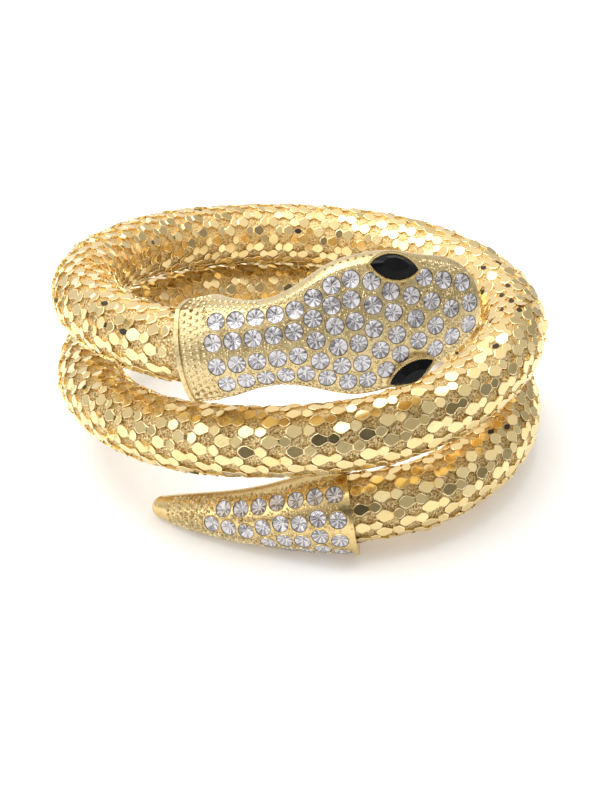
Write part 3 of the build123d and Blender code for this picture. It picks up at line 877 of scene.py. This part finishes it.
# a row of drilled pits along the side, each a disc of painted shade
t = np.linspace(*ground["pits"])
place, normal = surfaceFrame(headPoint, t, np.full(len(t), ground["pitsRound"]), *headStep)
beads("head side pit shades", place, normal, ground["pit"], pitGold, profile=pitShadeDisc)


# beaded ground of the tail

tail = {
    "length": 33.8, "collar": 7.35, "tip": 1.9, "bend": 60.0, "offset": 0.4, "lip": 0.3, "lipLength": 0.7,
    "along": (0, .05, .24, .52, .80), "radius": (1.0, .99, .85, .60, .39),
    # ground beads: distances along, angles round the front, and pitch round it
    "ground": (1.9, 29.0, -1.25, 1.40), "groundPitch": 0.085, "spread": (0.8, 1.15),
    "girth": (7.0, 1.9), "fullGirth": 6.6,
    "rows": (17.0, 30.2, -1.2, 1.35), "rowPitch": (0.90, 0.27), "rowBead": 0.36, "taper": 0.008,
    "rowJitter": 0.02, "rowClear": 0.35,
}
tailWay = unit(unit(pathKnots[-2] - pathKnots[-3]) + heading(coil["tailHeading"], -coil["tailPitch"]))
tailStart = tailWay * coil["lead"] + pathKnots[-2]


def tailPoint(along, angle):
    # circles along a bent line that is pitched down, so that the tail lies on the floor
    pitch = math.asin((tail["collar"] - tail["tip"]) / tail["length"])
    end = tail["length"] - tail["tip"]
    stations = np.append(np.array(tail["along"]) * tail["length"], end)
    radii = smoothCurve(stations, np.append(np.array(tail["radius"]) * tail["collar"], tail["tip"]),
                        np.ravel(along)).reshape(np.shape(along))
    h = math.radians(coil["tailHeading"]) - along / tail["bend"]
    first = math.radians(coil["tailHeading"])
    b = math.radians(coil["tailBearing"])
    x = tailStart[0] - tail["bend"] * (np.sin(h) - math.sin(first)) + tail["offset"] * math.cos(b)
    y = tailStart[1] + tail["bend"] * (np.cos(h) - math.cos(first)) + tail["offset"] * math.sin(b)
    z = radii * math.cos(pitch) + tail["lipLength"] * math.sin(pitch)
    down = np.full(np.shape(h), -math.sin(pitch))
    forward = np.stack([np.cos(h) * math.cos(pitch), np.sin(h) * math.cos(pitch), down], -1)
    up = unit(np.array([0, 0, 1.0]) - forward * forward[..., 2:3])
    side = np.cross(forward, up)
    r = radii - tail["lip"] * (1 - along / end)
    way = up * np.sin(angle)[..., None] - side * np.cos(angle)[..., None]
    return np.stack([x, y, z], -1) + r[..., None] * way


# fewer beads round the thin end, by its radius
u, a = strewn(*tail["ground"], ground["pitch"] * ground["stagger"], tail["groundPitch"], ground["jitter"])
girth = np.interp(u, [0, tail["length"]], tail["girth"]) / tail["fullGirth"]
pick = rng.uniform(0, 1, len(u)) < girth
u, a = u[pick], a[pick]
place, normal = surfaceFrame(tailPoint, u, a, *tailStep)
keep = clearOf(place, tailStones, stone["radius"] + ground["clear"])
size = ground["bead"] * rng.uniform(*tail["spread"], keep.sum())
beads("tail ground beads", place[keep], normal[keep], size, sandGold, tones=True)

u, a = strewn(*tail["rows"], *tail["rowPitch"], tail["rowJitter"])
place, normal = surfaceFrame(tailPoint, u, a, *tailStep)
keep = clearOf(place, tailStones, stone["radius"] + tail["rowClear"])
size = tail["rowBead"] - tail["taper"] * (u[keep] - tail["rows"][0])
beads("tail row beads", place[keep], normal[keep], size, sandGold, sides=9, tones=True)


# floor, lights and camera

def floorLook(s):
    # a sweep that glows a little, as a lit table does
    soft = grain(s, objectCoords(s), 9.0)
    return {"Base Color": soft.blend((0.87, 0.87, 0.87, 1), (0.89, 0.89, 0.89, 1)),
            "Roughness": 0.6 + soft * 0.1,
            "Emission Color": soft.blend((1.0, 0.985, 0.97, 1), (1.0, 0.99, 0.98, 1))}


studio = {"floor": 1.6, "floorDrop": 0.0001, "glow": 0.22, "world": 0.93, "top": 2.4, "left": 0.8}
floorPoints = np.array([[-1, -1, 0], [1, -1, 0], [1, 1, 0], [-1, 1, 0]], float) * studio["floor"]
floorPoints[:, 2] -= studio["floorDrop"]
floorMesh = bpy.data.meshes.new("floor")
floorMesh.from_pydata([tuple(p) for p in floorPoints], [], [(0, 1, 2, 3)])
floorMesh.materials.append(newMaterial("white sweep", floorLook, Emission_Strength=studio["glow"]))
floor = bpy.data.objects.new("floor", floorMesh)
bpy.context.scene.collection.objects.link(floor)

world = bpy.data.worlds.new("studio")
bpy.context.scene.world = world
world.use_nodes = True
w = Sock(world.node_tree, None)
way = w.node("ShaderNodeTexCoord", {}, {}, "Generated")


def towards(x, y, z):
    # how nearly the world's direction is this one, as the cosine between them
    aim = tuple(unit(np.array([x, y, z], float)))
    return w.node("ShaderNodeVectorMath", {"operation": "DOT_PRODUCT"}, {0: way, 1: aim}, "Value")


# a bright ceiling towards the back, a dark stand in front and three darker walls for the gold
# to mirror
ceiling = towards(0, 0.5, 0.87).ramp(-0.2, 0.75) * 0.55
window = towards(0, 0.2, 0.98).ramp(0.78, 0.98) * 0.4
stand = towards(0, -0.84, 0.54).ramp(0.955, 0.985)
walls = (towards(1, -0.35, 0.15).ramp(0.80, 0.97) + towards(-0.55, -0.8, 0.05).ramp(0.90, 0.99)
         + towards(0.6, 0.7, 0.38).ramp(0.85, 0.97) * 0.9)
strength = (0.50 + ceiling + window) * (1 - stand * 0.85) * (1 - walls.clip() * 0.55) * studio["world"]
background = world.node_tree.nodes["Background"]
background.inputs["Color"].default_value = (1.0, 0.985, 0.96, 1)
world.node_tree.links.new(strength.out, background.inputs["Strength"])


def softLight(name, place, size, power):
    # a rectangle of light aimed at the bracelet
    lamp = bpy.data.lights.new(name, "AREA")
    lamp.shape = "RECTANGLE"
    lamp.size, lamp.size_y = size
    lamp.energy = power
    ob = bpy.data.objects.new(name, lamp)
    bpy.context.scene.collection.objects.link(ob)
    ob.location = place
    ob.rotation_euler = (Vector(place) - Vector((0, 0, 0.02))).to_track_quat("Z", "Y").to_euler()


softLight("top softbox", (-0.15, 0.05, 0.55), (0.5, 0.5), studio["top"])
softLight("left softbox", (-0.55, -0.25, 0.30), (0.3, 0.5), studio["left"])
print("studio lit")

view = {"lens": 77.13, "place": (-0.000104, -0.25232, 0.16699), "lookingDown": 32.577, "near": 0.01}
camera = bpy.data.cameras.new("camera")
camera.lens = view["lens"]
camera.clip_start = view["near"]
cameraObject = bpy.data.objects.new("camera", camera)
bpy.context.scene.collection.objects.link(cameraObject)
cameraObject.location = view["place"]
cameraObject.rotation_euler = (math.radians(90 - view["lookingDown"]), 0, 0)
bpy.context.scene.camera = cameraObject
bpy.context.scene.view_settings.view_transform = "Standard"
